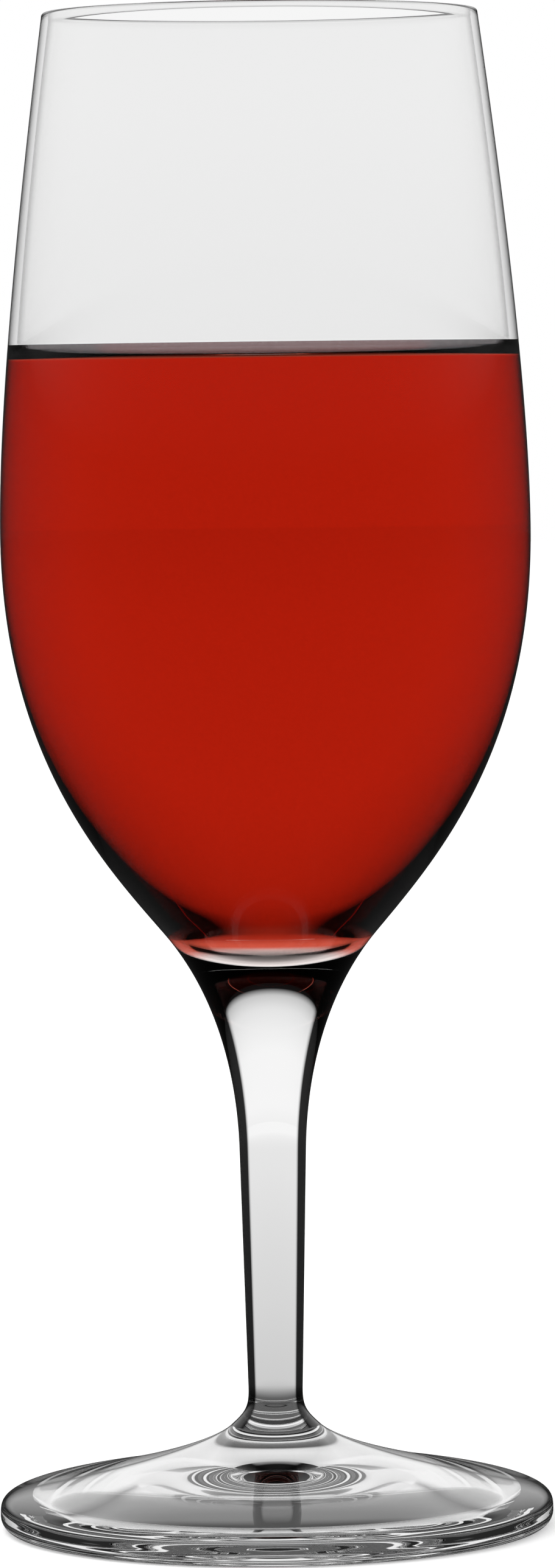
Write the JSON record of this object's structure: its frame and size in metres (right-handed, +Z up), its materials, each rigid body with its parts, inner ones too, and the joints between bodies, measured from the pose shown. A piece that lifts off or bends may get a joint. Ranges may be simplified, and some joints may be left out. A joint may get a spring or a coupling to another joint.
{
  "type": "wine glass",
  "caption": "Stemmed glass with a rounded bowl, slim solid stem and round foot, holding red wine below its rim.",
  "frame": {"origin": "centre of the foot's underside, on the surface that the glass stands on", "axes": "+Z up along the axis of the stem and the bowl; the glass is round, so X and Y are alike"},
  "size_m": [0.0732, 0.0732, 0.2],
  "materials": {
    "glass": "clear polished soda-lime glass",
    "wine": "clear red liquid"
  },
  "bodies": {
    "root": {"foot": "glass", "stem": "glass", "bowl": "glass", "wine": "wine"}
  },
  "joints": []
}
